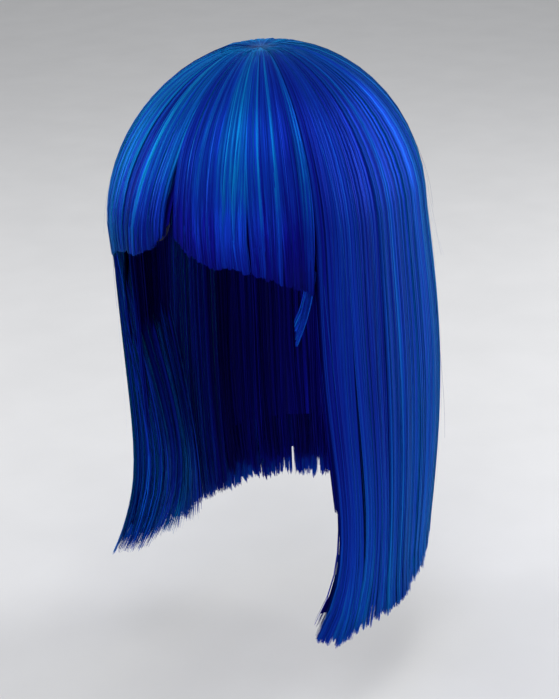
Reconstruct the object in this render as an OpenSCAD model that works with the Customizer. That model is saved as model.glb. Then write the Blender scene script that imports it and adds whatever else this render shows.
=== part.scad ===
// Costume wig: a straight bob with a fringe, on a stretch cap with sewn wefts.
// +Z is up, -Y is the way the wearer faces and +X is the wearer's left. The origin is the
// middle of the head opening. An azimuth is 0 at the face and grows towards the wearer's left.

/* [Head] */
// Half width of the head that the cap fits
head_half_w = 73; // [60:0.5:88]
// Half depth of that head, from the middle to the forehead or to the back
head_half_d = 93; // [76:0.5:112]
// Height of the crown of the head above the middle of the opening
head_h = 92; // [76:0.5:112]

/* [Hair] */
// Depth of hair over the cap at each side of the head
hair_side = 18.5; // [15:0.5:26]
// Depth of hair over the cap at the forehead
hair_front = 14; // [11:0.5:18]
// Depth of hair over the cap at the back of the head
hair_back = 14; // [11:0.5:20]
// Depth of hair over the cap on the crown
hair_crown = 16; // [13:0.5:22]
// How far the tips of the back hair hang below the opening
hair_drop = 239; // [190:1:320]
// How much further the hair beside the face hangs on the wearer's left
left_extra = 24; // [0:0.5:30]
// Thickness of the hanging hair at its tips
tip_thick = 13; // [9:0.5:18]
// Bare radius round the whorl, where the skin top shows
whorl_r = 7; // [4:0.5:12]
// How much further the back hair stands out half-way down than at the opening
back_belly = 10; // [0:0.5:12]

/* [Fringe and locks] */
// Azimuth where the fringe ends and the front locks start
fringe_end = 49; // [44:0.5:58]
// Height of the seam that the fringe hangs from
fringe_seam_z = 60; // [50:0.5:68]
// Height of the brow edge at the middle of each fringe cluster
fringe_brow_z = -2; // [-8:0.5:8]
// How far the fringe dips at the temples
fringe_dip = 21; // [8:0.5:26]
// Height of the little arch where the two fringe clusters part
parting_arch = 20; // [8:0.5:26]
// Length of the loose wisp below each end of the fringe
wisp_len = 30; // [15:1:45]
// How far, in degrees of azimuth, the edge of a front lock sweeps back before it flicks forward
lock_sweep = 36; // [0:1:50]
// How far, in degrees of azimuth, the tip of a front lock flicks forward
lock_flick = 7; // [0:0.5:10]
// How far the right front lock hugs inward beside the cheek
lock_hollow = 7; // [0:0.5:9]
// How far the tip of the right front lock flicks outward
lock_flare = 16; // [0:0.5:20]

/* [Cap] */
// Thickness of the lace, bands and ribbons
cap_t = 0.9; // [0.6:0.1:1.5]
// Height of the sewn bands round the edge of the cap
band_h = 12; // [9:0.5:15]
// Width of an elastic rib
rib_w = 6; // [4:0.5:8]
// Thickness of a sewn weft
weft_t = 1.3; // [0.8:0.1:2]
// Height of a sewn weft
weft_h = 4; // [3:0.5:6]
// Spacing between the back wefts
weft_pitch = 14; // [11:0.5:18]
// Half width of the skin top
skin_half_w = 22; // [15:0.5:28]
// Half depth of the skin top
skin_half_d = 28; // [18:0.5:36]

/* [Adjusters] */
// Width of an adjuster strap
strap_w = 8; // [6:0.5:10]
// Thickness of an adjuster strap
strap_t = 0.8; // [0.5:0.1:1.2]
// Width of the flat stock of an adjuster hook
hook_wire = 1.4; // [1:0.1:2]
// Length of an adjuster hook
hook_len = 13; // [10:0.5:16]
// Spacing of the slot loops that a hook can catch in
slot_pitch = 7; // [5:0.5:9]

/* [Fits] */
// Gap between pieces that are sewn together or lie on each other
sewn_gap = 0.2; // [0.1:0.05:0.4]
// Air between the lace and ribs below and the bands and wefts above
layer_air = 0.5; // [0.4:0.05:0.8]
// Gap between locks of hair that swing past each other
lock_gap = 1.2; // [0.8:0.1:2.5]
// Largest outward swing of the hanging hair, in degrees
swing = 35; // [15:1:40]

/* [Hidden] */

hair_blue = "royalblue";
under_blue = "mediumblue";
cap_black = [0.10, 0.12, 0.30];
lace_blue = [0.16, 0.20, 0.45];
skin_tint = [0.80, 0.72, 0.88];
steel = "silver";

// Roundness of the head's plan and of its dome: 2 is an ellipse
plan_n = 2.3;
dome_n = 1.95;

// Distances from the head surface out to each layer
lace_out = cap_t;
weft_in = lace_out + layer_air;
weft_out = weft_in + weft_t;
band_out = weft_in + cap_t;
hair_in = weft_out + 1;

// Azimuths where each part of the cap and of the hair starts and ends
tab_start = 62;
tab_end = 84;
binding_end = 138;
lock_start = fringe_end + 1.5;
side_start = 86;
quarter_start = 118;
back_start = 150;
edge_gap = 0.7;

// The back wefts are spread evenly about a middle height. The lace ends above the first of them,
// and the hairline band lies under the fringe's seam.
back_wefts = 6;
middle_weft_z = 1;
first_weft_z = middle_weft_z + (back_wefts - 1) / 2 * weft_pitch;
lace_edge_z = first_weft_z + 9;
hairline_z = fringe_seam_z - 8;

// Heights of the hanging hair's seams
curtain_seam_z = 2;
under_seam_z = -14;
nape_seam_z = -30;

// The slack of a lock, row by row, is worked out over this many rows
drop_rows = 11;
dome_rows = 7;

// ---- Surfaces -------------------------------------------------------------------------

function mix(a, b, k) = a + (b - a) * k;
function clamp01(x) = max(0, min(1, x));

// Radius at azimuth a of an oval with half width w and half depths f (front) and b (back)
function oval(a, w, f, b) =
    pow(pow(abs(sin(a)) / w, plan_n) + pow(abs(cos(a)) / (cos(a) > 0 ? f : b), plan_n), -1 / plan_n);

// Share of the full radius left at height z under a dome of height h
function dome(z, h) = z <= 0 ? 1 : pow(max(0, 1 - pow(min(z / h, 1), dome_n)), 1 / dome_n);

// The same dome by angle: 0 at the opening and 90 at the top
function dome_height(t, h) = h * pow(sin(t), 2 / dome_n);
function dome_share(t) = pow(cos(t), 2 / dome_n);
function dome_angle(z, h) = asin(pow(z / h, dome_n / 2));

// The head narrows below its widest level, which draws the edge of the cap in
tuck_depth = 0.17;
tuck_level = 75;
function tuck(z) = z >= 0 ? 1 : 1 - tuck_depth * pow(z / tuck_level, 2);

function radial(a, r, z) = [r * sin(a), -r * cos(a), z];

// Cap surface, a distance out from the head
function cap_radius(a, z, out) =
    oval(a, head_half_w + out, head_half_d + out, head_half_d + out) * dome(z, head_h + out) * tuck(z);
function cap_point(a, z, out) = radial(a, cap_radius(a, z, out), z);

// Outer and inner faces of the whole mass of hair
hair_w = head_half_w + hair_side;
hair_f = head_half_d + hair_front;
hair_b = head_half_d + hair_back;
hair_top = head_h + hair_crown;
function fall(z) = clamp01(-z / hair_drop);
function belly(a, z) = back_belly * (1 - cos(a)) / 2 * sin(180 * fall(z));
function hair_outer(a, z) = (oval(a, hair_w, hair_f, hair_b) + belly(a, z)) * dome(z, hair_top);
function hair_inner(a, z) =
    z >= 0 ? cap_radius(a, z, hair_in)
           : mix(cap_radius(a, 0, hair_in), hair_outer(a, z) - tip_thick, pow(fall(z), 0.7));

// A point in the hair: u is 0 on the cap side and 1 on the outside
function hair_point(a, z, u) = radial(a, mix(hair_inner(a, z), hair_outer(a, z), u), z);

// Height of the tips at an azimuth: a level cut, longer beside the wearer's left cheek
long_az = 80;
level_az = 128;
function tip_z(a) =
    -hair_drop - (a > 0 ? left_extra * clamp01((level_az - a) / (level_az - long_az)) : 0);

// Lower edge of the cap, from the forehead round over the ear to the nape
tab_bottom_z = -24;
over_ear_z = 6;
nape_z = -58;
function side_az(a) = abs(a) > 180 ? 360 - abs(a) : abs(a);
function rim_z(a) = lookup(side_az(a), [
    [0, hairline_z], [40, hairline_z - 8], [tab_start, over_ear_z + 8], [tab_end, over_ear_z],
    [104, over_ear_z - 4], [120, -18], [binding_end, nape_z + 6], [160, nape_z], [180, nape_z]]);

// ---- Sheets ---------------------------------------------------------------------------

// A closed sheet between two grids of points. Rows run down and columns run towards +azimuth.
// A looped sheet joins its last column to its first.
module sheet(outer, inner, looped = false) {
    rows = len(outer);
    cols = len(outer[0]);
    n = rows * cols;
    last = looped ? cols - 1 : cols - 2;
    function id(i, j) = i * cols + j % cols;
    skin = [for (i = [0:rows - 2], j = [0:last]) each [
        [id(i, j), id(i, j + 1), id(i + 1, j + 1)], [id(i, j), id(i + 1, j + 1), id(i + 1, j)],
        [n + id(i, j), n + id(i + 1, j + 1), n + id(i, j + 1)],
        [n + id(i, j), n + id(i + 1, j), n + id(i + 1, j + 1)]]];
    b = rows - 1;
    ends = [for (j = [0:last]) each [
        [id(0, j), n + id(0, j), n + id(0, j + 1)], [id(0, j), n + id(0, j + 1), id(0, j + 1)],
        [id(b, j), n + id(b, j + 1), n + id(b, j)], [id(b, j), id(b, j + 1), n + id(b, j + 1)]]];
    e = cols - 1;
    sides = looped ? [] : [for (i = [0:rows - 2]) each [
        [n + id(i, 0), id(i, 0), id(i + 1, 0)], [n + id(i, 0), id(i + 1, 0), n + id(i + 1, 0)],
        [n + id(i, e), id(i + 1, e), id(i, e)], [n + id(i, e), n + id(i + 1, e), id(i + 1, e)]]];
    polyhedron(concat([for (r = outer) each r], [for (r = inner) each r]),
        concat(skin, ends, sides), convexity = 8);
}

// Numbers from a to b in n equal steps
function steps(a, b, n) = [for (i = [0:n]) mix(a, b, i / n)];

// A strip of the cap between two azimuths, from a lower edge up by a height
module cap_strip(a0, a1, low, high, inside, outside, cols, rows = 1) {
    grid = function (out) [for (k = steps(1, 0, rows)) [for (a = steps(a0, a1, cols))
        cap_point(a, mix(low(a), high(a), k), out)]];
    sheet(grid(outside), grid(inside));
}

// A band that follows the edge of the cap, over the ends of the lace and ribs
module rim_band(a0, a1, h, cols) {
    cap_strip(a0, a1, function (a) rim_z(a), function (a) rim_z(a) + h, weft_in, band_out, cols, 2);
}

// ---- Cap ------------------------------------------------------------------------------

// Height of the cap surface above a plan position
function cap_height(x, y, out) =
    (head_h + out) * pow(1 - pow(norm([x, y]) / cap_radius(atan2(x, -y), 0, out), dome_n), 1 / dome_n);

// An oval patch on top of the dome, as a square grid pressed into an oval
module skin_top() {
    grid = function (out) [for (v = steps(1, -1, 8)) [for (u = steps(-1, 1, 8))
        let (x = skin_half_w * u * sqrt(1 - v * v / 2), y = skin_half_d * v * sqrt(1 - u * u / 2))
        [x, y, cap_height(x, y, out)]]];
    color(skin_tint) sheet(grid(lace_out), grid(0));
}

// Top edge of the lace: the oval round the skin top
function skin_edge(a, out) =
    let (r = pow(pow(sin(a) / (skin_half_w + sewn_gap), 2) + pow(cos(a) / (skin_half_d + sewn_gap), 2), -0.5))
    cap_height(r * sin(a), -r * cos(a), out);

// Lower edge of the lace: it laps under the hairline band, clears the ear tabs and leaves the
// back open
tab_hinge_z = 26;
lap = 5;
open_back_az = 99;
function lace_low(a) = max(rim_z(a) + band_h - lap,
    mix(tab_hinge_z + 0.6, lace_edge_z, clamp01((side_az(a) - open_back_az + 9) / 9)));

module crown_lace() {
    grid = function (out) [for (k = steps(0, 1, dome_rows)) [for (a = [0:9:351])
        let (h = head_h + out, top = dome_angle(skin_edge(a, out), h), low = dome_angle(lace_low(a), h))
        cap_point(a, dome_height(mix(top, low, k), h), out)]];
    color(lace_blue) sheet(grid(lace_out), grid(0), looped = true);
}

module hairline_band() color(cap_black) rim_band(-tab_start + edge_gap, tab_start - edge_gap, band_h, 24);

module side_binding(side) {
    ends = side > 0 ? [tab_end + edge_gap, binding_end - edge_gap] : [-binding_end + edge_gap, -tab_end - edge_gap];
    color(cap_black) rim_band(ends[0], ends[1], band_h - 2, 12);
}

module nape_band() color(cap_black) rim_band(binding_end, 360 - binding_end, band_h, 18);

// The flap in front of the ear: it bends along its top edge, just under the lace, and is round
// at the bottom
tab_round = 14;
module ear_tab(side) {
    mid = side * (tab_start + tab_end) / 2;
    half = (tab_end - tab_start) / 2 - edge_gap;
    low = function (a) tab_bottom_z + tab_round * (1 - sqrt(1 - pow((a - mid) / (half + 0.5), 2)));
    color(cap_black)
        cap_strip(mid - half, mid + half, low, function (a) tab_hinge_z, weft_in, band_out, 8, 4);
}

// The flat metal stay in the ear tab's pocket, on the side of the head
stay_half = 1.4;
stay_t = 0.8;
stay_inset = 5;
module ear_tab_stay(side) {
    mid = side * (tab_start + tab_end) / 2;
    out = weft_in - sewn_gap;
    color(steel) cap_strip(mid - stay_half, mid + stay_half, function (a) tab_bottom_z + stay_inset,
        function (a) tab_hinge_z - stay_inset, out - stay_t, out, 1, 4);
}

// Upright elastic ribs, from the nape band or side binding up to the lace
rib_azimuths = [104, 130, 155, 180, 205, 230, 256];
module cap_rib(i) {
    a = rib_azimuths[i - 1];
    half = rib_w / 2 / cap_radius(a, 0, 0) * 180 / PI;
    low = function (x) rim_z(x) + band_h - lap;
    color(cap_black) cap_strip(a - half, a + half, low, function (x) lace_edge_z - sewn_gap, 0, lace_out, 1, 7);
}

// A weft at one height runs round the back between the places where the cap's edge rises above it
function weft_start(z) = min([for (a = [tab_end + 4:2:binding_end + 22])
    if (rim_z(a) + band_h + 1 < z) a]);
module back_weft(i) {
    z = first_weft_z - (i - 1) * weft_pitch;
    a0 = weft_start(z);
    color(under_blue) cap_strip(a0, 360 - a0, function (a) z, function (a) z + weft_h, weft_in, weft_out, 20);
}

// Horseshoe wefts on the lace, open at the forehead
crown_weft_zs = [lace_edge_z + 5, lace_edge_z + 21];
module crown_weft(i) {
    z = crown_weft_zs[i - 1];
    color(under_blue) cap_strip(76, 284, function (a) z, function (a) z + weft_h, weft_in, weft_out, 22);
}

fringe_weft_z = fringe_seam_z + 6;
module fringe_weft() color(under_blue) cap_strip(-fringe_end, fringe_end, function (a) fringe_weft_z,
    function (a) fringe_weft_z + weft_h, weft_in, weft_out, 14);

// ---- Adjusters ------------------------------------------------------------------------

// Height of the middle of the straps, hooks and loops inside the nape band
adjust_z = nape_z + band_h / 2;
hook_az = 157;
strap_inside = 5.6;

// Places a child with +X along the nape towards the middle of the back, +Y outwards, on the
// wearer's left side, at a distance in from the band and leaning with it
module at_nape(side, a, inward) {
    r = cap_radius(a, adjust_z, weft_in) - inward;
    lean = atan((cap_radius(a, adjust_z + 1, 0) - cap_radius(a, adjust_z - 1, 0)) / 2);
    mirror([side > 0 ? 0 : 1, 0, 0]) rotate([0, 0, a - 90]) translate([r, 0, adjust_z])
        rotate([0, 0, 90]) mirror([0, 1, 0]) rotate([-lean, 0, 0]) children();
}

// Flat hook: a slot for the strap, a neck and a prong that turns back
module hook_outline() {
    slot = strap_w + 1;
    difference() {
        square([hook_wire * 2 + 1.2, slot + hook_wire * 2], center = true);
        square([1.2, slot], center = true);
    }
    translate([hook_wire / 2 + 0.5, -hook_wire / 2]) square([hook_len - 4, hook_wire]);
    translate([hook_len - 4, hook_wire]) difference() {
        circle(r = 1.5 * hook_wire, $fn = 32);
        circle(r = 0.5 * hook_wire, $fn = 32);
        translate([-3 * hook_wire, -3 * hook_wire]) square([3 * hook_wire, 6 * hook_wire]);
    }
    translate([hook_len - 8, 1.5 * hook_wire]) square([4.2, hook_wire]);
}

module adjuster_hook(side) color(steel) at_nape(side, hook_az, strap_inside)
    rotate([90, 0, 0]) linear_extrude(hook_wire * 0.7, center = true) hook_outline();

// Stitched loops on the inside of the nape band: each is a staple that a prong passes under
loop_count = 4;
loop_w = 1.2;
loop_depth = 2;
loop_t = 0.8;
module slot_loops(side) color(lace_blue) for (i = [0:loop_count - 1]) {
    a = hook_az + 2 + (i * slot_pitch) / cap_radius(hook_az, adjust_z, 0) * 180 / PI;
    at_nape(side, a, layer_air + loop_depth / 2) difference() {
        cube([loop_w, loop_depth, strap_w], center = true);
        translate([0, loop_t, 0]) cube([loop_w + 1, loop_depth, strap_w - 2 * loop_t], center = true);
    }
}

// Elastic strap from the side binding to the hook
strap_az = 139;
module adjuster_strap(side) {
    a1 = hook_az - 2.2;
    ends = side > 0 ? [strap_az, a1] : [-a1, -strap_az];
    inward = function (a) mix(2.4, strap_inside, clamp01((side_az(a) - strap_az) / (a1 - strap_az)));
    grid = function (t) [for (v = [0.5, -0.5]) [for (a = steps(ends[0], ends[1], 8))
        radial(a, cap_radius(a, adjust_z, weft_in) - inward(a) + t, adjust_z + v * strap_w)]];
    color(cap_black) sheet(grid(strap_t / 2), grid(-strap_t / 2));
}

// ---- Hair on the crown ----------------------------------------------------------------

// Hair that lies on the dome, from the bare spot at the whorl down to a seam
module crown_hair(a0, a1, seam_z, cols) {
    top = acos(pow(whorl_r / hair_w, dome_n / 2));
    grid = function (u) [for (k = steps(0, 1, dome_rows)) [for (a = steps(a0, a1, cols))
        let (h = mix(head_h + hair_in, hair_top, u),
             t = mix(top, dome_angle(seam_z, h), k),
             r = mix(cap_radius(a, 0, hair_in), oval(a, hair_w, hair_f, hair_b), u))
        radial(a, r * dome_share(t), dome_height(t, h))]];
    color(hair_blue) sheet(grid(1), grid(0));
}
module crown_hair_front() crown_hair(-fringe_end, fringe_end, fringe_seam_z + lock_gap, 14);
module crown_hair_side(side) {
    a0 = side > 0 ? lock_start : -quarter_start + edge_gap;
    crown_hair(a0, a0 + quarter_start - edge_gap - lock_start, curtain_seam_z + lock_gap, 9);
}
module crown_hair_back() crown_hair(quarter_start, 360 - quarter_start, curtain_seam_z + lock_gap, 16);

// ---- Hair that swings -----------------------------------------------------------------

// Azimuth that a swinging lock faces, and how far out its hinge line lies
function facing(a0, a1) = (a0 + a1) / 2;
function outness(p, a) = p[0] * sin(a) - p[1] * cos(a);

// Curve of the right front lock: beside the face it hugs the cheek and flares at its tip
function curve_out(a, z) = clamp01((side_start - abs(a)) / (side_start - lock_start))
    * (lock_flare * pow(fall(z), 7) - lock_hollow * sin(180 * pow(fall(z), 1.2)));

// Lowers the top edge where it lies outside the hinge line, so that it turns under its seam
function swing_drop(a, z, u, face, hinge) = max(0, outness(hair_point(a, z, u), face) - hinge) * tan(swing);

// A lock that hangs from a seam: azimuth limits and tip height are functions of the share of the
// way down and of the azimuth, and u0 and u1 are its inner and outer depth in the hair
module hanging_lock(left, right, seam_z, low, u0, u1, face, hinge, cols, rows = drop_rows, curved = false) {
    grid = function (u) [for (k = steps(0, 1, rows)) [for (c = steps(0, 1, cols))
        let (a = mix(left(k), right(k), c),
             top = seam_z - swing_drop(a, seam_z, u, face, hinge),
             z = mix(top, low(a), k))
        hair_point(a, z, u) + (curved ? radial(face, curve_out(a, z), 0) : [0, 0, 0])]];
    sheet(grid(u1), grid(u0));
}

// Distance from the middle to a lock's hinge line at its seam. It lies a little nearer than the
// middle of the lock's weight, so that the lock hangs against its rest.
function hinge_out(a0, a1, z, depth) =
    norm(hair_point(facing(a0, a1), z, depth) - [0, 0, z]) * cos((a1 - a0) * 0.3);
fringe_depth = 0.85;
curtain_depth = 0.48;

// Lower edge of the fringe: level at the brow, with an arch at the parting and a dip at each end
arch_az = 15;
dip_az = 22;
function fringe_low(a) = fringe_brow_z + parting_arch * pow(max(0, 1 - abs(a) / arch_az), 1.4)
    - fringe_dip * pow(clamp01((abs(a) - dip_az) / (fringe_end - dip_az)), 1.2);
parting_top = 0.5;
parting_bottom = 2;

module fringe(side) {
    inner = function (k) mix(parting_top, parting_bottom, k);
    outer = function (k) fringe_end;
    left = side > 0 ? inner : function (k) -outer(k);
    right = side > 0 ? outer : function (k) -inner(k);
    color(hair_blue) hanging_lock(left, right, fringe_seam_z, function (a) fringe_low(a), 0.15, 1,
        side * fringe_end / 2, hinge_out(0, fringe_end, fringe_seam_z, fringe_depth), 12, 7);
}

// A loose wisp that hangs under the end of the fringe and narrows to a point
wisp_w = 5;
module temple_wisp(side) {
    top = fringe_low(fringe_end) - sewn_gap;
    grid = function (u) [for (k = steps(0, 1, 5)) [for (c = [-0.5, 0.5])
        let (a = side * (fringe_end - wisp_w / 2 - 2 * k) + c * wisp_w * (1 - 0.8 * k))
        hair_point(a, top - wisp_len * k, mix(0.5, mix(0.35, 0.75, u), 1 - 0.6 * k))]];
    color(hair_blue) sheet(grid(1), grid(0));
}

// A front lock's edge beside the face, which sweeps back and then flicks forward at its tip
function lock_edge(k) = lock_start + lock_sweep * pow(k, 3) * (1 - k * k) - lock_flick * pow(k, 5);
module front_lock(side, u0, u1, seam_z, low) {
    rear = function (k) side_start - edge_gap;
    left = side > 0 ? function (k) lock_edge(k) : function (k) -rear(k);
    right = side > 0 ? rear : function (k) -lock_edge(k);
    hinge = hinge_out(lock_start, side_start, curtain_seam_z, curtain_depth);
    hanging_lock(left, right, seam_z, low, u0, u1, side * facing(lock_start, side_start), hinge, 7,
        drop_rows, side < 0);
}

// The middle of the hair's depth, where the outer layer meets the under-layer
layer_split = 0.44;
layer_gap = 0.1;
under_short = 12;
under_lock_short = 85;

module outer_lock(side) color(hair_blue)
    front_lock(side, layer_split, 1, curtain_seam_z, function (a) tip_z(a));
module under_lock(side) color(under_blue) front_lock(side, 0, layer_split - layer_gap, under_seam_z,
    function (a) tip_z(a) + under_lock_short);

// A plain stretch of hanging hair between two azimuths
module curtain(a0, a1, u0, u1, seam_z, short = 0, cols = 7) {
    hanging_lock(function (k) a0, function (k) a1, seam_z, function (a) tip_z(a) + short, u0, u1,
        facing(a0, a1), hinge_out(a0, a1, curtain_seam_z, curtain_depth), cols);
}
module side_curtain(side) {
    a0 = side > 0 ? side_start : -quarter_start + edge_gap;
    color(hair_blue) curtain(a0, a0 + quarter_start - edge_gap - side_start, 0.1, 1, curtain_seam_z);
}
module rear_quarter(side, u0 = layer_split, u1 = 1, seam_z = curtain_seam_z, short = 0, tint = hair_blue) {
    a0 = side > 0 ? quarter_start : -back_start + edge_gap;
    color(tint) curtain(a0, a0 + back_start - edge_gap - quarter_start, u0, u1, seam_z, short);
}
module under_quarter(side)
    rear_quarter(side, 0, layer_split - layer_gap, under_seam_z, under_short, under_blue);
module back_curtain() color(hair_blue)
    curtain(back_start, 360 - back_start, layer_split, 1, curtain_seam_z, 0, 12);
module nape_hair() color(under_blue) curtain(back_start, 360 - back_start, 0,
    layer_split - layer_gap, nape_seam_z, under_short, 12);

// ---- Nodes ----------------------------------------------------------------------------

skin_top();
crown_lace();
hairline_band();
side_binding(1);  // side_binding_left
side_binding(-1);  // side_binding_right
nape_band();
ear_tab(1);  // ear_tab_left
ear_tab(-1);  // ear_tab_right
ear_tab_stay(1);  // ear_tab_stay_left
ear_tab_stay(-1);  // ear_tab_stay_right
for (i = [1:7]) cap_rib(i);
for (i = [1:back_wefts]) back_weft(i);
for (i = [1:2]) crown_weft(i);
fringe_weft();
slot_loops(1);  // slot_loops_left
slot_loops(-1);  // slot_loops_right
adjuster_strap(1);  // adjuster_strap_left
adjuster_strap(-1);  // adjuster_strap_right
adjuster_hook(1);  // adjuster_hook_left
adjuster_hook(-1);  // adjuster_hook_right
crown_hair_front();
crown_hair_side(1);  // crown_hair_left
crown_hair_side(-1);  // crown_hair_right
crown_hair_back();
fringe(1);  // fringe_left
fringe(-1);  // fringe_right
temple_wisp(1);  // temple_wisp_left
temple_wisp(-1);  // temple_wisp_right
outer_lock(1);  // front_lock_left
outer_lock(-1);  // front_lock_right
under_lock(1);  // under_lock_left
under_lock(-1);  // under_lock_right
side_curtain(1);  // side_curtain_left
side_curtain(-1);  // side_curtain_right
rear_quarter(1);  // rear_quarter_left
rear_quarter(-1);  // rear_quarter_right
under_quarter(1);  // under_quarter_left
under_quarter(-1);  // under_quarter_right
back_curtain();
nape_hair();
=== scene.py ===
import math

import bmesh
import bpy
import numpy as np
from mathutils import Matrix, Vector


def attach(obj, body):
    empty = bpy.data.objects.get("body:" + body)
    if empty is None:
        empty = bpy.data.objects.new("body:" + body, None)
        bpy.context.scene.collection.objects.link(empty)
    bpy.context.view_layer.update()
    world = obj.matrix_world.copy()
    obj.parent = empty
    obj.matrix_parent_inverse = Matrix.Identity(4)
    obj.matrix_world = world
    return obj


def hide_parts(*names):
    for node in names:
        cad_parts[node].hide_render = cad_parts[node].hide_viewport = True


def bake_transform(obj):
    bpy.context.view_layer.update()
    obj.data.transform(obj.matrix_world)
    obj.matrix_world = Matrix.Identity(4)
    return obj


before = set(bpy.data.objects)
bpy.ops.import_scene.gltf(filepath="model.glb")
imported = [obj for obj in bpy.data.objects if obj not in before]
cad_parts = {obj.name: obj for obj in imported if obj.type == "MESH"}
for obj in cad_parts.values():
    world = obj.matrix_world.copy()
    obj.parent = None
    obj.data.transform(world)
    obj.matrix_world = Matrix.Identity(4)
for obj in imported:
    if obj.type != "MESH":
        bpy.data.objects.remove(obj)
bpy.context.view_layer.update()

# Straight fringed bob wig. Metres; an azimuth is 0 at the face, grows towards the wearer's left
# and is in degrees. The head opening is at height 0.

# ---- Sizes of the head, the cap and the hair ----------------------------------------------

# Head that the cap fits: half width, half depth, and height of its crown
HEAD_W = 0.073
HEAD_D = 0.093
HEAD_H = 0.092
# Outside of the hair, the same way
HAIR_W = 0.0915
HAIR_D = 0.107
HAIR_TOP = 0.108
# Space under the hair for the cap, thickness of the hair at its tips, and bulge of the back
HAIR_IN = 0.0037
TIP_THICK = 0.013
BELLY = 0.010
# How far the back hangs below the opening, and how much further the wearer's left front does
DROP = 0.239
LEFT_EXTRA = 0.024
# Side and back strands are a little longer than the solid locks
CURTAIN_EXTRA = 0.003
# Roundness of the oval in plan and of the dome, and the way from the whorl down to the opening
PLAN_ROUND = 2.3
DOME_ROUND = 1.95
DOME_RUN = 0.1627

# Cap: thickness of its cloth, the two faces of a weft, middle and height of a band, half size of
# the skin top, and about the mean radius of the head
CAP_T = 0.0009
WEFT_IN = 0.0014
WEFT_OUT = 0.0027
BAND_MID = (WEFT_IN + WEFT_IN + CAP_T) / 2
BAND_H = 0.012
SKIN_W = 0.022
SKIN_D = 0.028
HEAD_R = 0.085
# Lower edge of the cap: azimuths and heights in millimetres
RIM = [(0, 52), (40, 44), (62, 14), (84, 6), (104, 2), (120, -18), (138, -52), (160, -58), (180, -58)]
NAPE_START = 138
# Rows of weft at the back: height of the top one, spacing and height of a row. Width of a rib
WEFT_TOP = 0.036
WEFT_PITCH = 0.014
WEFT_H = 0.004
RIB_W = 0.006
# Ear tabs: azimuth of the middle, half width in degrees and height of the hinge
TAB_MIDDLE = 73
TAB_HALF = 11
TAB_HINGE_Z = 0.026
# Adjusters: their height, azimuths of the hook and of the strap's ends, strap width, loop spacing
ADJUST_Z = -0.052
HOOK_AZ = 157
STRAP_START = 139
STRAP_STOP = HOOK_AZ - 2.2
STRAP_W = 0.008
LOOP_PITCH = 0.007

# Azimuths where one lock ends and the next starts, and the gap between two of them
FRINGE_END = 49.0
LOCK_START = 50.5
SIDE_START = 86.0
QUARTER_START = 118.0
BACK_START = 150.0
EDGE_GAP = 0.7
# Heights of the seams
FRINGE_SEAM = 0.060
CURTAIN_SEAM = 0.002
# Widths of a usual strand, of a wisp of strands and of a clump of wisps, and height of the floor
STRAND_W = 0.00062
WISP_W = 0.0024
CLUMP_W = 0.009
FLOOR_Z = -0.33


def mix(a, b, k):
    """A share k of the way from a to b."""
    return a + (b - a) * k


def share(x):
    """A value kept between 0 and 1."""
    return np.clip(x, 0, 1)


def ease(x):
    """From 0 to 1 with a soft start and end."""
    x = share(x)
    return x * x * (3 - 2 * x)


def oval(azimuth, width, depth):
    """Radius of a rounded oval with these half sizes."""
    turn = np.radians(azimuth)
    across = np.abs(np.sin(turn)) / width
    along = np.abs(np.cos(turn)) / depth
    return (across ** PLAN_ROUND + along ** PLAN_ROUND) ** (-1 / PLAN_ROUND)


def radial(azimuth, radius, height):
    """A place at an azimuth, at a radius from the upright axis and at a height."""
    turn = np.radians(azimuth)
    spots = np.broadcast_arrays(radius * np.sin(turn), -radius * np.cos(turn), height)
    return np.stack(spots, -1)


def dome(height, top):
    """How much of its full radius a dome still has at a height."""
    rise = np.clip(height / top, 0, 1)
    return (1 - rise ** DOME_ROUND) ** (1 / DOME_ROUND)


def tuck(height):
    """The cap draws in a little towards the nape."""
    return 1 - 0.17 * (np.minimum(height, 0) / 0.075) ** 2


def cap_point(azimuth, height, out):
    """A point on the cap, a distance out from the head."""
    radius = oval(azimuth, HEAD_W + out, HEAD_D + out)
    return radial(azimuth, radius * dome(height, HEAD_H + out) * tuck(height), height)


def hair_point(azimuth, run, depth):
    """A point in the hair. Run is the way down from the whorl; depth is 0 at the cap and 1 outside."""
    turn = np.radians(np.clip(90 * (1 - run / DOME_RUN), 0, 90))
    height = np.minimum(0, DOME_RUN - run)
    fall = share(-height / DROP)
    outer = oval(azimuth, HAIR_W, HAIR_D)
    inner = oval(azimuth, HEAD_W + HAIR_IN, HEAD_D + HAIR_IN)
    dome_radius = mix(inner, outer, depth) * np.cos(turn) ** (2 / DOME_ROUND)
    dome_height = mix(HEAD_H + HAIR_IN, HAIR_TOP, depth) * np.sin(turn) ** (2 / DOME_ROUND)
    bellied = outer + BELLY * (1 - np.cos(np.radians(azimuth))) / 2 * np.sin(np.pi * fall)
    hung_radius = mix(mix(inner, bellied - TIP_THICK, fall ** 0.7), bellied, depth)
    on_dome = run < DOME_RUN
    radius = np.where(on_dome, dome_radius, hung_radius)
    return radial(azimuth, radius, np.where(on_dome, dome_height, height))


def run_to(height):
    """The way down from the whorl to a height on the outside of the hair."""
    rise = np.clip(height / HAIR_TOP, 0, 1) ** (DOME_ROUND / 2)
    return np.where(height > 0, DOME_RUN * (1 - np.degrees(np.arcsin(rise)) / 90), DOME_RUN - height)


def tip_height(azimuth):
    """Height of the cut tips, which hang lower beside the wearer's left cheek."""
    longer = np.where(azimuth > 0, share((128 - azimuth) / 48) ** 0.75, 0)
    return -DROP - LEFT_EXTRA * longer


def curtain_tips(azimuth):
    """Longest strands of the side and back hair: most of the others end a little above them."""
    return tip_height(azimuth) - CURTAIN_EXTRA


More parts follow.
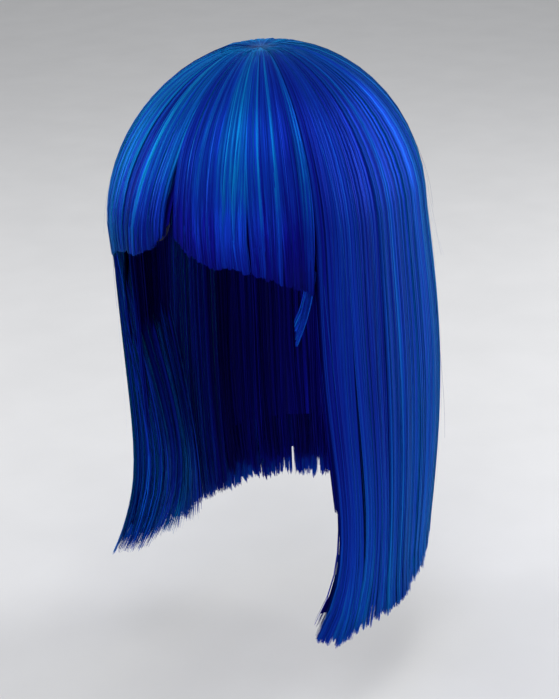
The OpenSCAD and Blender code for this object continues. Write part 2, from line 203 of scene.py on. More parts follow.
def fringe_height(azimuth):
    """The brow edge: an arch where the fringe parts, and a dip at each temple."""
    arch = 0.020 * np.clip(1 - np.abs(azimuth) / 15, 0, 1) ** 1.4
    dip = 0.021 * share((np.abs(azimuth) - 22) / (FRINGE_END - 22)) ** 1.2
    return -0.002 + arch - dip


def lock_edge(k):
    """Front edge of a front lock: it sweeps back on its way down and flicks forward at the tip."""
    return LOCK_START + 36 * k ** 3 * (1 - k * k) - 7 * k ** 5


def cheek_curve(points, azimuth):
    """The wearer's right front lock hugs the cheek and flares at its tip."""
    fall = share(-points[..., 2] / DROP)
    near_face = share((SIDE_START - np.abs(azimuth)) / (SIDE_START - LOCK_START))
    out = near_face * (0.020 * fall ** 7 - 0.003 * np.sin(np.pi * fall ** 1.2))
    return points + radial(-(LOCK_START + SIDE_START) / 2, out, 0 * out)


# ---- Finishes -------------------------------------------------------------------------------


def finish(name, roughness, **settings):
    """A new material with its node tree and shader."""
    material = bpy.data.materials.new(name)
    material.use_nodes = True
    surface = material.node_tree.nodes["Principled BSDF"]
    surface.inputs["Roughness"].default_value = roughness
    for socket, value in settings.items():
        surface.inputs[socket.replace("_", " ")].default_value = value
    return material, material.node_tree, surface


def add(tree, kind, **settings):
    """A shader node: each setting goes to the input of that name, or else to the node itself."""
    made = tree.nodes.new(kind)
    for key, value in settings.items():
        if key in made.inputs:
            made.inputs[key].default_value = value
        else:
            setattr(made, key, value)
    return made


def calculate(tree, operation, *values):
    made = add(tree, "ShaderNodeMath", operation=operation)
    for slot, value in enumerate(values):
        if isinstance(value, (int, float)):
            made.inputs[slot].default_value = value
        else:
            tree.links.new(value, made.inputs[slot])
    return made.outputs[0]


def ramp(tree, value, stops):
    made = add(tree, "ShaderNodeValToRGB")
    colours = made.color_ramp.elements
    while len(colours) < len(stops):
        colours.new(0.5)
    for stop, (place, colour) in zip(colours, stops):
        stop.position = place
        stop.color = (*colour, 1)
    tree.links.new(value, made.inputs[0])
    return made.outputs["Color"]


def noise(tree, place, scale, detail=2.0):
    made = add(tree, "ShaderNodeTexNoise", Scale=scale, Detail=detail)
    tree.links.new(place, made.inputs["Vector"])
    return made.outputs["Fac"]


def stretched(tree, place, scale):
    made = add(tree, "ShaderNodeMapping", Scale=scale)
    tree.links.new(place, made.inputs["Vector"])
    return made.outputs["Vector"]


def relief(tree, surface, height, strength, distance):
    made = add(tree, "ShaderNodeBump", Strength=strength, Distance=distance)
    tree.links.new(height, made.inputs["Height"])
    tree.links.new(made.outputs["Normal"], surface.inputs["Normal"])


def rough_from(tree, surface, value, low, high):
    made = add(tree, "ShaderNodeMapRange")
    made.inputs["To Min"].default_value = low
    made.inputs["To Max"].default_value = high
    tree.links.new(value, made.inputs["Value"])
    tree.links.new(made.outputs[0], surface.inputs["Roughness"])


# Fibre colours, from the deepest painted shade through the dye's blues to an azure that is partly painted
# gleam, and the pale roots
DEEP = (0.003, 0.002, 0.060)
ULTRAMARINE = (0.003, 0.002, 0.180)
ROYAL = (0.003, 0.028, 0.360)
AZURE = (0.002, 0.200, 0.500)
ROOT_LILAC = (0.10, 0.12, 0.32)


def fibre_with_painted_shade(name, gleam, darker=0.0):
    """Dyed silky fibre: each strand has its own tone, which also carries painted shade and painted light,
    and its root by the whorl is paler.
    """
    material, tree, surface = finish(name, 0.34, IOR=1.16, Metallic=0.42, Sheen_Weight=gleam)
    surface.inputs["Specular IOR Level"].default_value = 0.3
    surface.inputs["Specular Tint"].default_value = (0.0, 0.62, 1.0, 1)
    surface.inputs["Sheen Roughness"].default_value = 0.30
    surface.inputs["Sheen Tint"].default_value = (0.0, 0.42, 1.0, 1)
    tone = add(tree, "ShaderNodeAttribute", attribute_name="tone").outputs["Fac"]
    along = add(tree, "ShaderNodeUVMap", uv_map="strand").outputs["UV"]
    streak = noise(tree, stretched(tree, along, (900, 7, 1)), 1.0)
    # darker lowers the whole ramp: painted shade for the hair inside the locks
    spread = calculate(tree, "MULTIPLY_ADD", streak, 0.30, -0.15 - darker)
    shade = calculate(tree, "ADD", tone, spread)
    dyed = ramp(tree, shade, [(0.0, DEEP), (0.36, ULTRAMARINE), (0.66, ROYAL), (1.0, AZURE)])
    root = add(tree, "ShaderNodeAttribute", attribute_name="root").outputs["Fac"]
    blend = add(tree, "ShaderNodeMix", data_type="RGBA")
    tree.links.new(root, blend.inputs["Factor"])
    tree.links.new(dyed, blend.inputs[6])
    blend.inputs[7].default_value = (*ROOT_LILAC, 1)
    tree.links.new(blend.outputs[2], surface.inputs["Base Color"])
    rough_from(tree, surface, streak, 0.26, 0.44)
    relief(tree, surface, noise(tree, stretched(tree, along, (3000, 4, 1)), 1.0), 0.25, 0.0002)
    return material


def weave_finish(name, dark, light, ends, picks, stitches=(), thread=None, gloss=0.5):
    """Narrow woven goods: ends and picks are threads to the metre, across and along the piece."""
    material, tree, surface = finish(name, gloss)
    surface.inputs["Sheen Weight"].default_value = 0.25
    surface.inputs["Sheen Roughness"].default_value = 0.4
    place = add(tree, "ShaderNodeUVMap", uv_map="weave").outputs["UV"]
    split = add(tree, "ShaderNodeSeparateXYZ")
    tree.links.new(place, split.inputs[0])
    warp = calculate(tree, "SINE", calculate(tree, "MULTIPLY", split.outputs[0], ends * math.tau))
    weft = calculate(tree, "SINE", calculate(tree, "MULTIPLY", split.outputs[1], picks * math.tau))
    cross = calculate(tree, "MULTIPLY_ADD", calculate(tree, "MULTIPLY", warp, weft), 0.5, 0.5)
    wear = noise(tree, place, 260.0)
    shade = calculate(tree, "MULTIPLY_ADD", wear, 0.35, calculate(tree, "MULTIPLY", cross, 0.65))
    colour = ramp(tree, shade, [(0.15, dark), (0.85, light)])
    height = cross
    for row in stitches:
        gap = calculate(tree, "ABSOLUTE", calculate(tree, "SUBTRACT", split.outputs[1], row))
        line = calculate(tree, "LESS_THAN", gap, 0.00035)
        pitch = calculate(tree, "MULTIPLY", split.outputs[0], 1 / 0.0026)
        dash = calculate(tree, "LESS_THAN", calculate(tree, "FRACT", pitch), 0.72)
        stitch = calculate(tree, "MULTIPLY", line, dash)
        sewn = add(tree, "ShaderNodeMix", data_type="RGBA")
        tree.links.new(stitch, sewn.inputs["Factor"])
        tree.links.new(colour, sewn.inputs[6])
        sewn.inputs[7].default_value = (*thread, 1)
        colour = sewn.outputs[2]
        height = calculate(tree, "ADD", height, stitch)
    tree.links.new(colour, surface.inputs["Base Color"])
    rough_from(tree, surface, wear, gloss - 0.1, gloss + 0.15)
    relief(tree, surface, height, 0.6, 0.0003)
    return material


def net_finish(name):
    """Stretch lace: fine hexagonal mesh, denser along scattered flower-like patches."""
    material, tree, surface = finish(name, 0.6)
    surface.inputs["Sheen Weight"].default_value = 0.3
    place = add(tree, "ShaderNodeUVMap", uv_map="weave").outputs["UV"]
    cells = add(tree, "ShaderNodeTexVoronoi", feature="DISTANCE_TO_EDGE", Scale=520.0, Randomness=0.25)
    tree.links.new(place, cells.inputs["Vector"])
    patch = noise(tree, place, 70.0)
    width = calculate(tree, "MULTIPLY_ADD", patch, 0.30, -0.02)
    thread = calculate(tree, "LESS_THAN", cells.outputs["Distance"], width)
    tint = calculate(tree, "MULTIPLY_ADD", thread, 0.8, calculate(tree, "MULTIPLY", patch, 0.2))
    tree.links.new(ramp(tree, tint, [(0.0, (0.004, 0.006, 0.05)), (1.0, (0.03, 0.05, 0.24))]),
                   surface.inputs["Base Color"])
    relief(tree, surface, thread, 0.8, 0.0003)
    rough_from(tree, surface, patch, 0.5, 0.75)
    return material


def skin_finish(name):
    """Thin skin-coloured film with pores, and the knots of the hair sewn through it."""
    material, tree, surface = finish(name, 0.45)
    surface.inputs["Subsurface Weight"].default_value = 0.15
    surface.inputs["Subsurface Scale"].default_value = 0.002
    place = add(tree, "ShaderNodeUVMap", uv_map="weave").outputs["UV"]
    knots = add(tree, "ShaderNodeTexVoronoi", Scale=620.0, Randomness=0.7)
    tree.links.new(place, knots.inputs["Vector"])
    knot = calculate(tree, "LESS_THAN", knots.outputs["Distance"], 0.22)
    mottle = noise(tree, place, 180.0, 4.0)
    film = ramp(tree, mottle, [(0.3, (0.60, 0.46, 0.58)), (0.7, (0.74, 0.60, 0.70))])
    dots = add(tree, "ShaderNodeMix", data_type="RGBA")
    tree.links.new(knot, dots.inputs["Factor"])
    tree.links.new(film, dots.inputs[6])
    dots.inputs[7].default_value = (*ROYAL, 1)
    tree.links.new(dots.outputs[2], surface.inputs["Base Color"])
    rough_from(tree, surface, mottle, 0.35, 0.6)
    relief(tree, surface, calculate(tree, "ADD", knot, mottle), 0.3, 0.0003)
    return material


def metal_finish(name, colour, grain):
    """Pressed steel with fine drawing marks."""
    material, tree, surface = finish(name, 0.3, Metallic=1.0)
    place = add(tree, "ShaderNodeTexCoord").outputs["Object"]
    marks = noise(tree, stretched(tree, place, grain), 1.0, 4.0)
    darker = tuple(0.7 * part for part in colour)
    tree.links.new(ramp(tree, marks, [(0.3, darker), (0.7, colour)]), surface.inputs["Base Color"])
    rough_from(tree, surface, marks, 0.22, 0.42)
    relief(tree, surface, marks, 0.15, 0.0001)
    return material


def moulded_finish(name):
    """Dark moulded plastic with a faint satin grain."""
    material, tree, surface = finish(name, 0.42)
    place = add(tree, "ShaderNodeTexCoord").outputs["Object"]
    grain = noise(tree, stretched(tree, place, (1800, 1800, 1800)), 1.0, 3.0)
    tree.links.new(ramp(tree, grain, [(0.3, (0.022, 0.022, 0.038)), (0.7, (0.036, 0.036, 0.060))]),
                   surface.inputs["Base Color"])
    rough_from(tree, surface, grain, 0.34, 0.48)
    relief(tree, surface, grain, 0.2, 0.0001)
    return material


def thread_finish(name):
    """Twisted sewing thread."""
    material, tree, surface = finish(name, 0.55)
    surface.inputs["Sheen Weight"].default_value = 0.4
    place = add(tree, "ShaderNodeTexCoord").outputs["Object"]
    twist = add(tree, "ShaderNodeTexWave", Scale=420.0, Distortion=1.0)
    tree.links.new(place, twist.inputs["Vector"])
    turns = twist.outputs["Fac"]
    tree.links.new(ramp(tree, turns, [(0.1, (0.01, 0.02, 0.10)), (0.9, (0.05, 0.09, 0.34))]),
                   surface.inputs["Base Color"])
    relief(tree, surface, turns, 0.7, 0.0002)
    return material


fibre = fibre_with_painted_shade("fibre_dye_and_painted_shade", 1.0)
# Fibre for the cores and under layers, darker all over: painted shade; it has no sheen
shaded_inner_fibre = fibre_with_painted_shade("inner_fibre_painted_shade", 0.0, 0.14)
band_cloth = weave_finish("binding_tape", (0.006, 0.008, 0.05), (0.02, 0.03, 0.12), 1100, 1500,
                          (0.0016, 0.0104), (0.07, 0.11, 0.42))
rib_elastic = weave_finish("ribbed_elastic", (0.005, 0.007, 0.045), (0.025, 0.035, 0.13), 1500, 700,
                           gloss=0.6)
strap_elastic = weave_finish("strap_elastic", (0.008, 0.010, 0.05), (0.03, 0.04, 0.15), 1300, 900)
sewn_weft = weave_finish("sewn_weft", (0.003, 0.008, 0.10), (0.006, 0.035, 0.34), 2200, 240,
                         (0.0008, 0.0020, 0.0032), (0.02, 0.05, 0.30), 0.42)
stretch_lace = net_finish("stretch_lace")
skin_film = skin_finish("skin_film")
hook_plastic = moulded_finish("hook_plastic")
spring_steel = metal_finish("stay_steel", (0.50, 0.51, 0.54), (2600, 400, 400))
satin_thread = thread_finish("satin_thread")


# ---- Hair -----------------------------------------------------------------------------------


def new_piece(name, bm, material, smooth=True):
    """A named piece in the scene, made from a mesh in work."""
    mesh = bpy.data.meshes.new(name)
    bm.to_mesh(mesh)
    bm.free()
    mesh.materials.append(material)
    if smooth:
        mesh.shade_smooth()
    piece = bpy.data.objects.new(name, mesh)
    bpy.context.scene.collection.objects.link(piece)
    return piece


def strip_grid(count, rows):
    """A flat grid with every second column of faces cut away: one strip for each strand."""
    bm = bmesh.new()
    bm.loops.layers.uv.new("strand")
    columns = 2 * count - 1
    bmesh.ops.create_grid(bm, x_segments=columns, y_segments=rows, size=0.5, calc_uvs=True)
    between = [face for number, face in enumerate(bm.faces) if number % columns % 2]
    bmesh.ops.delete(bm, geom=between, context="FACES")
    return bm


def set_tone(mesh, name, values):
    layer = mesh.attributes.new(name, "FLOAT", "POINT")
    layer.data.foreach_set("value", np.ascontiguousarray(values, np.float32).ravel())


def lay_strands(name, azimuth, run, depth, width, roll, tone, root, material, curve=None):
    """Lays one narrow strip along each row of the arrays, which are strands by places."""
    count, places = azimuth.shape

    def spot(turn):
        found = hair_point(azimuth + turn, run, depth)
        return curve(found, azimuth) if curve else found

    centre = spot(0)
    along = np.gradient(centre, axis=1)
    along /= np.linalg.norm(along, axis=2, keepdims=True)
    aside = spot(0.3) - spot(-0.3)
    aside -= along * (aside * along).sum(2, keepdims=True)
    aside /= np.linalg.norm(aside, axis=2, keepdims=True)
    outward = np.cross(along, aside)
    half = (aside * np.cos(roll)[..., None] + outward * np.sin(roll)[..., None]) * width[..., None] / 2
    edges = np.stack([centre + half, centre - half], 2)
    piece = new_piece(name, strip_grid(count, places - 1), material)
    mesh = piece.data
    mesh.vertices.foreach_set("co", edges.transpose(1, 0, 2, 3).astype(np.float32).ravel())
    set_tone(mesh, "tone", np.repeat(tone.T[:, :, None], 2, 2))
    set_tone(mesh, "root", np.repeat(root.T[:, :, None], 2, 2))
    mesh.update()
    return piece


def groups(random, across, size, width):
    """Gathers strands into clumps of about a size: each one's clump, its middle, and their number."""
    count = max(3, int(round(width / size)))
    cuts = np.sort(np.append((np.arange(1, count) + random.uniform(-0.35, 0.35, count - 1)) / count, 1))
    clump = np.searchsorted(cuts, across)
    starts = np.append(0, cuts[:-1])
    return clump, ((starts + cuts) / 2)[clump], count


def comb(name, seed, count, places, limits, seam, tips, depths, material, uneven, gather, wide,
         start=None, curve=None, shade=0.0, curl=0.0, gathered_in=0.0, tip_painted_shade=0.0):
    """Combs a lock: strands from the whorl, or from a seam, down to tips at a height."""
    random = np.random.default_rng(seed)
    whorl = start is None
    down = np.linspace(0, 1, places + 1)[None, :] ** (1.3 if whorl else 1.0)
    across = (random.permutation(count) + random.random(count)) / count
    kind = random.random(count)
    inside, outside = depths
    upper = kind < 0.62
    top = np.where(upper, mix(inside, outside, random.uniform(0.90, 1.05, count)),
                   mix(inside, outside, random.uniform(0.35, 0.90, count)))
    lining = kind > 0.86
    gathered = (gathered_in > 0) & (kind > 0.45)
    clump, middle, clumps = groups(random, across, CLUMP_W, wide)
    wisp, wisp_middle, wisps = groups(random, across, WISP_W, wide)

    pull = gather * down ** 4
    placed = across[:, None] + (middle - across)[:, None] * pull * 0.7
    placed = placed + (wisp_middle - across)[:, None] * (0.15 + 0.45 * gather * down ** 2)
    sway = random.normal(0, 1, (clumps, 3))[clump]
    sway = sway + random.normal(0, 0.45, (count, 3))
    bend = sway[:, :1] * np.sin(down * 3.1) + sway[:, 1:2] * np.sin(down * 6.5 + sway[:, 2:])
    placed = placed + bend * 0.0007 / wide * (0.3 + down)

    begin = np.full(count, start or 0.0)
    if whorl:
        late = ~upper & (random.random(count) < 0.8)
        begin = np.where(late, random.uniform(0.012, 0.085, count), random.uniform(0.001, 0.009, count))
    fine_end = (random.normal(0, 0.25, clumps)[clump] + random.normal(0, 0.4, wisps)[wisp]) * uneven
    apart = np.abs(across - wisp_middle) * wide / 0.0014
    fine_end = np.minimum(fine_end, 1.5 * uneven) - uneven * (0.8 * apart + random.exponential(0.45, count))
    fine_end = np.where(lining, fine_end - 0.008, fine_end)
    tip_azimuth = mix(*[edge[:, 0] for edge in limits(np.ones((count, 1)))], across)
    end = run_to(tips(tip_azimuth)) + fine_end
    first, last = begin.min(), end.max()
    level = mix(first, last, down)
    late_by = (begin - first)[:, None]
    run = level + late_by * (1 - ease((level - first) / (2 * late_by + 0.02)))
    run = run + (end - last)[:, None] * share((down - 0.45) / 0.55)
    seam_run = float(run_to(np.array(seam)))
    lowered = share((run - seam_run) / (end[:, None] - seam_run))
    low, high = limits(lowered)
    azimuth = mix(low, high, placed)

    depth = np.repeat(top[:, None], places + 1, 1)
    ridge = random.normal(0, 0.022, clumps)[clump] + random.normal(0, 0.016, wisps)[wisp]
    depth = depth + ridge[:, None] * (0.4 + 0.6 * down)
    if whorl:
        rise = ease((run - begin[:, None]) / 0.024)
        sunk = np.where(late, 0.35, 0.72)[:, None]
        depth = mix(sunk * depth, depth, rise)
        lined = mix(0.06, inside + 0.03, ease((run - DOME_RUN) / 0.05))
        depth = np.where(lining[:, None], lined + random.uniform(0, 0.05, count)[:, None], depth)
    depth = depth - curl * ease((down - 0.86) / 0.14)
    depth = np.clip(depth, 0.01 + inside * (run > DOME_RUN + 0.05), outside + 0.07)
    inward = gathered_in * random.random(count) * gathered
    depth = depth - inward[:, None] * ease((down - 0.45) / 0.5)

    taper = mix(1.0, 0.3, ease((down - 0.93) / 0.07)) * mix(0.45, 1.0, ease(run / 0.06))
    thick = STRAND_W * random.uniform(0.7, 1.25, count)[:, None] * taper
    loose = lining | gathered | (not whorl)
    roll = (random.normal(0, 1, count) * np.where(loose, 0.8, 0.20))[:, None]
    roll = roll + 0.12 * np.sin(down * 5 + random.random((count, 1)) * 6)
    tone = random.normal(0.62, 0.06, count) + random.normal(0, 0.07, clumps)[clump]
    # shade darkens a whole lock, or lightens it when negative: painted shade and painted light
    tone = tone + random.normal(0, 0.06, wisps)[wisp] - shade
    # Deeper strands are darker: painted shade
    buried = share((outside - depth) / max(outside - inside, 0.1))
    # Strands turned in towards the face are less darkened and a little lighter: painted light
    turned = inward[:, None] > 0
    buried = buried * (1 - 0.8 * turned * ease((down - 0.35) / 0.3))
    tone = tone[:, None] + 0.10 * turned * ease(down / 0.4) - 0.34 * buried
    # Tips darker, or lighter when the value is negative: painted shade and painted light
    tone = tone - tip_painted_shade * ease((down - 0.6) / 0.4)
    root = 0.75 * (1 - ease((run - 0.003) / 0.009)) if whorl else 0 * run
    return lay_strands(name, azimuth, run, depth, thick, roll, tone, root, material, curve)


def stray(name, seed, count, limits, seam, tips, reach, curve=None):
    """Loose fine strands that stand a little away from a lock."""
    random = np.random.default_rng(seed)
    places = 18
    down = np.linspace(0, 1, places + 1)[None, :]
    across = random.random(count)[:, None]
    low, high = limits(np.zeros((count, 1)))
    middle = mix(low, high, across)
    lowest = run_to(tips(middle)) - 0.01
    start = random.uniform(0.1, 0.55, (count, 1)) * lowest
    end = np.minimum(start + random.uniform(0.07, 0.19, (count, 1)), lowest)
    run = mix(start, end, down)
    low, high = limits(share((run - float(run_to(np.array(seam)))) / 0.26))
    drift = random.normal(0, 0.07, (count, 1)) * down ** 1.5
    azimuth = mix(low, high, np.clip(across + drift, -0.02, 1.02))
    lift = reach * random.random((count, 1)) ** 2
    depth = 0.97 + lift * down ** 1.7 + 0.02 * np.sin(down * 9 + across * 40)
    width = np.full(azimuth.shape, 0.00022) * mix(1.0, 0.4, down)
    tone = np.full(azimuth.shape, 0.55) + random.normal(0, 0.1, (count, 1))
    roll = random.normal(0, 0.5, (count, 1)) + 0 * down
    return lay_strands(name, azimuth, run, depth, width, roll, tone, 0 * run, fibre, curve)


def core(name, columns, rows, limits, seam, tips, depth, first, short, seed, curve=None, narrow=0.0):
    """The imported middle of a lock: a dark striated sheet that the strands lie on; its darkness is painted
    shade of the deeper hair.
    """
    random = np.random.default_rng(seed)
    down = np.linspace(0, 1, rows + 1)[:, None]
    across = np.linspace(1.01, -0.01, columns + 1)[None, :]
    across = mix(across, 0.5, narrow * ease((down - 0.55) / 0.45))
    low, high = limits(np.ones((1, 1)))
    end = run_to(tips(mix(low, high, across))) - short
    run = mix(first, end, down)
    seam_run = float(run_to(np.array(seam)))
    low, high = limits(share((run - seam_run) / (end - seam_run)))
    azimuth = mix(low, high, across)
    ridge = random.normal(0, 0.02, (1, columns + 1)) * share(run / 0.06)
    level = depth(run) + ridge
    bm = bmesh.new()
    bm.loops.layers.uv.new("strand")
    bmesh.ops.create_grid(bm, x_segments=columns, y_segments=rows, size=0.5, calc_uvs=True)
    piece = new_piece(name, bm, shaded_inner_fibre)
    points = hair_point(azimuth, run, level)
    if curve:
        points = curve(points, azimuth)
    piece.data.vertices.foreach_set("co", points.astype(np.float32).ravel())
    # Low tone and the darker fibre: painted shade of the deeper hair
    tone = np.broadcast_to(random.normal(0.34, 0.10, (1, columns + 1)), azimuth.shape)
    set_tone(piece.data, "tone", tone)
    set_tone(piece.data, "root", 0 * azimuth)
    piece.data.update()
    return piece


def between(first, last):
    """Edges of a lock that keep their azimuths all the way down."""
    return lambda k: (first + 0 * k, last + 0 * k)


def fringe_limits(side):
    """Edges of a fringe half: they leave a narrow parting at the brow."""
    inner = (lambda k: side * 2.0 * k)
    return lambda k: (inner(k), side * (FRINGE_END + 0.3) + 0 * k) if side > 0 else (
        -(FRINGE_END + 0.3) + 0 * k, inner(k))


def front_limits(side, reach=1.0):
    """Edges of a front lock, or of an under-layer that follows only part of its sweep."""
    rear = SIDE_START - EDGE_GAP / 2
    if side > 0:
        return lambda k: (lock_edge(reach * k) - 0.3, rear + 0 * k)
    return lambda k: (-rear + 0 * k, -lock_edge(reach * k) + 0.3)


def hang(pieces, body, crown):
    """Each piece keeps its place in its own mesh, and the parts of the lock and its crown that it replaces
    are hidden.
    """
    for piece in pieces:
        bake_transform(piece)
        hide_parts(body, crown)


def sector(side, start, stop):
    """First and last azimuth of a lock on one side."""
    first = start if side > 0 else -stop + EDGE_GAP
    return first, first + stop - EDGE_GAP - start


def outer_depth(level):
    """Depth of a core: half-way on the dome, and another level in the hanging hair."""
    return lambda run: mix(0.5, level, ease((run - DOME_RUN) / 0.05))


sides = {"left": 1, "right": -1}


for word, side in sides.items():
    body = "fringe_" + word
    limits = fringe_limits(side)
    # The fringe is a little lighter overall and darker towards its tips: painted light and painted shade
    hair = comb(body + "_strands", 11 + side, 3000, 22, limits, FRINGE_SEAM, fringe_height,
                (0.30, 1.0), fibre, uneven=0.0012, gather=0.16, wide=0.085, curl=0.10, shade=-0.04,
                tip_painted_shade=0.28)
    packed = core(body + "_core", 60, 20, limits, FRINGE_SEAM, fringe_height,
                  lambda run: 0.55 + 0 * run, 0.006, 0.006, 21 + side)
    loose = stray(body + "_strays", 31 + side, 14, limits, FRINGE_SEAM, fringe_height, 0.22)
    hang((hair, packed, loose), body, "crown_hair_front")

    body = "front_lock_" + word
    limits = front_limits(side)
    bend = cheek_curve if side < 0 else None
    # The front locks are darker overall and lighter towards their tips, and the strands turned in on the
    # wearer's right lock are lighter: painted shade and painted light
    hair = comb(body + "_strands", 41 + side, 2700, 32, limits, CURTAIN_SEAM, tip_height,
                (0.46, 1.0), fibre, uneven=0.0040, gather=0.24, wide=0.055, curve=bend, shade=0.16,
                gathered_in=1.5 if side < 0 else 0.0, tip_painted_shade=-0.16)
    packed = core(body + "_core", 40, 34, limits, CURTAIN_SEAM, tip_height,
                  outer_depth(0.62), 0.006, 0.022, 51 + side, bend, 0.16)
    loose = stray(body + "_strays", 61 + side, 26, limits, CURTAIN_SEAM, tip_height, 0.45, bend)
    hang((hair, packed, loose), body, "crown_hair_" + word)

    body = "side_curtain_" + word
    first, last = sector(side, SIDE_START, QUARTER_START)
    limits = between(first - 0.2, last + 0.2)
    # A touch darker overall and a little lighter towards the tips: painted shade and painted light
    hair = comb(body + "_strands", 71 + side, 2400, 32, limits, CURTAIN_SEAM, curtain_tips,
                (0.12, 1.0), fibre, uneven=0.0036, gather=0.22, wide=0.055, shade=0.01,
                tip_painted_shade=-0.05)
    packed = core(body + "_core", 40, 32, limits, CURTAIN_SEAM, tip_height,
                  outer_depth(0.6), 0.006, 0.02, 81 + side)
    loose = stray(body + "_strays", 91 + side, 34, limits, CURTAIN_SEAM, tip_height, 0.55)
    hang((hair, packed, loose), body, "crown_hair_" + word)

    body = "rear_quarter_" + word
    first, last = sector(side, QUARTER_START, BACK_START)
    limits = between(first - 0.2, last + 0.2)
    # Lighter overall: painted light
    hair = comb(body + "_strands", 101 + side, 2400, 32, limits, CURTAIN_SEAM, curtain_tips,
                (0.46, 1.0), fibre, uneven=0.0036, gather=0.22, wide=0.06, shade=-0.07)
    packed = core(body + "_core", 40, 32, limits, CURTAIN_SEAM, tip_height,
                  outer_depth(0.62), 0.006, 0.02, 111 + side)
    loose = stray(body + "_strays", 121 + side, 38, limits, CURTAIN_SEAM, tip_height, 0.6)
    hang((hair, packed, loose), body, "crown_hair_back")

limits = between(BACK_START - 0.2, 360 - BACK_START + 0.2)
# Lighter overall: painted light
hair = comb("back_curtain_strands", 131, 3050, 32, limits, CURTAIN_SEAM, curtain_tips,
            (0.46, 1.0), fibre, uneven=0.0036, gather=0.22, wide=0.115, shade=-0.05)
packed = core("back_curtain_core", 80, 32, limits, CURTAIN_SEAM, tip_height,
              outer_depth(0.62), 0.006, 0.02, 132)
loose = stray("back_curtain_strays", 133, 44, limits, CURTAIN_SEAM, tip_height, 0.5)
hang((hair, packed, loose), "back_curtain", "crown_hair_back")


def under_layer(node, body, seed, count, limits, seam, short, wide, curve=None, narrow=0.0):
    """A shorter layer inside a lock, sewn to the lower wefts."""
    tips = (lambda azimuth: tip_height(azimuth) + short)
    seam_run = DOME_RUN - seam
    # Under layers are darker, through their tone and the darker fibre: painted shade
    hair = comb(node + "_strands", seed, count, 20, limits, seam, tips, (0.03, 0.34), shaded_inner_fibre,
                uneven=0.004, gather=0.3, wide=wide, start=seam_run, curve=curve, shade=0.12)
    packed = core(node + "_core", 30, 20, limits, seam, tips, lambda run: 0.22 + 0 * run, seam_run, 0.036,
                  seed + 500, curve, narrow)
    for piece in (hair, packed):
        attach(piece, body)
        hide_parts(node)


for word, side in sides.items():
    bend = cheek_curve if side < 0 else None
    under_layer("under_lock_" + word, "front_lock_" + word, 141 + side, 700, front_limits(side, 0.6), -0.014,
                0.085, 0.055, bend, 0.16)
    limits = between(*sector(side, QUARTER_START, BACK_START))
    under_layer("under_quarter_" + word, "rear_quarter_" + word, 151 + side, 800, limits, -0.014, 0.012,
                0.05)
under_layer("nape_hair", "back_curtain", 161, 1500, between(BACK_START, 360 - BACK_START), -0.030, 0.012,
            0.10)

# Wisps at the temples: a few strands that leave the end of the fringe and close to a point
for word, side in sides.items():
    random = np.random.default_rng(171 + side)
    count, places = 110, 12
    down = np.linspace(0, 1, places + 1)[None, :]
    spread = random.uniform(-0.5, 0.5, (count, 1))
    azimuth = side * (FRINGE_END - 1.2 - 6.0 * down ** 1.9) + spread * 4.0 * (1 - 0.80 * down ** 1.2)
    top = fringe_height(FRINGE_END - 2.5) + 0.012
    length = 0.046 * random.uniform(0.6, 1.0, (count, 1))
    run = run_to(np.array(top)) + length * down
    depth = mix(random.uniform(0.45, 0.8, (count, 1)), 0.5, down ** 1.5)
    width = 0.0007 * mix(1.0, 0.3, down ** 2) + 0 * spread
    # Lighter towards the tip: painted light
    tone = random.normal(0.50, 0.08, (count, 1)) + 0.12 * down
    roll = random.normal(0, 0.5, (count, 1)) + 0 * down
    piece = lay_strands("temple_wisp_%s_strands" % word, azimuth, run, depth, width, roll, tone,
                        0 * run, fibre)
    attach(piece, "fringe_" + word)
    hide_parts("temple_wisp_" + word)


# ---- Cap ------------------------------------------------------------------------------------


def cap_sheet(name, columns, rows, place, size, material, thickness, closed=False):
    """A flat cut piece pressed onto the cap: place takes shares across and down, 0 to 1."""
    bm = bmesh.new()
    layer = bm.loops.layers.uv.new("weave")
    bmesh.ops.create_grid(bm, x_segments=columns, y_segments=rows, size=0.5, calc_uvs=True)
    for face in bm.faces:
        for corner in face.loops:
            corner[layer].uv = (corner[layer].uv.x * size[0], corner[layer].uv.y * size[1])
    grid = np.array([corner.co for corner in bm.verts])
    points = place(0.5 - grid[:, 0], 0.5 + grid[:, 1])
    for corner, point in zip(bm.verts, points):
        corner.co = point
    if closed:
        bmesh.ops.remove_doubles(bm, verts=bm.verts, dist=0.00001)
    piece = new_piece(name, bm, material)
    wall = piece.modifiers.new("wall", "SOLIDIFY")
    wall.thickness = thickness
    wall.offset = 0
    edge = piece.modifiers.new("edge", "BEVEL")
    edge.width = thickness * 0.3
    edge.segments = 2
    edge.limit_method = "ANGLE"
    edge.angle_limit = math.radians(50)
    return piece


def rim_height(azimuth):
    """Height of the cap's lower edge."""
    level = np.abs(azimuth)
    level = np.where(level > 180, 360 - level, level)
    return np.interp(level, [at for at, _ in RIM], [z / 1000 for _, z in RIM])


def cap_strip(name, node, body, first, last, low, high, out, thickness, columns, rows, material,
              rounded=0.0):
    """A strip of the cap between two azimuths and two heights, a little fuller along its middle."""
    def place(across, down):
        azimuth = mix(first, last, across)
        height = mix(high(azimuth), low(azimuth), down)
        fuller = rounded * np.sin(np.pi * down) ** 0.5
        return cap_point(azimuth, height, out + fuller)

    middle = (first + last) / 2
    around = float(np.linalg.norm(cap_point(first, 0.0, out) - cap_point(last, 0.0, out)))
    around = max(around, math.radians(last - first) * HEAD_R)
    tall = float(high(middle) - low(middle))
    piece = cap_sheet(name, columns, rows, place, (around, tall), material, thickness)
    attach(piece, body)
    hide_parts(node)
    return piece


def rim_band(node, first, last, height, columns):
    """A length of binding tape along the cap's lower edge."""
    cap_strip(node + "_tape", node, "cap", first, last, rim_height,
              lambda azimuth: rim_height(azimuth) + height, BAND_MID - 0.0001, CAP_T * 0.9, columns, 8,
              band_cloth, 0.0002)


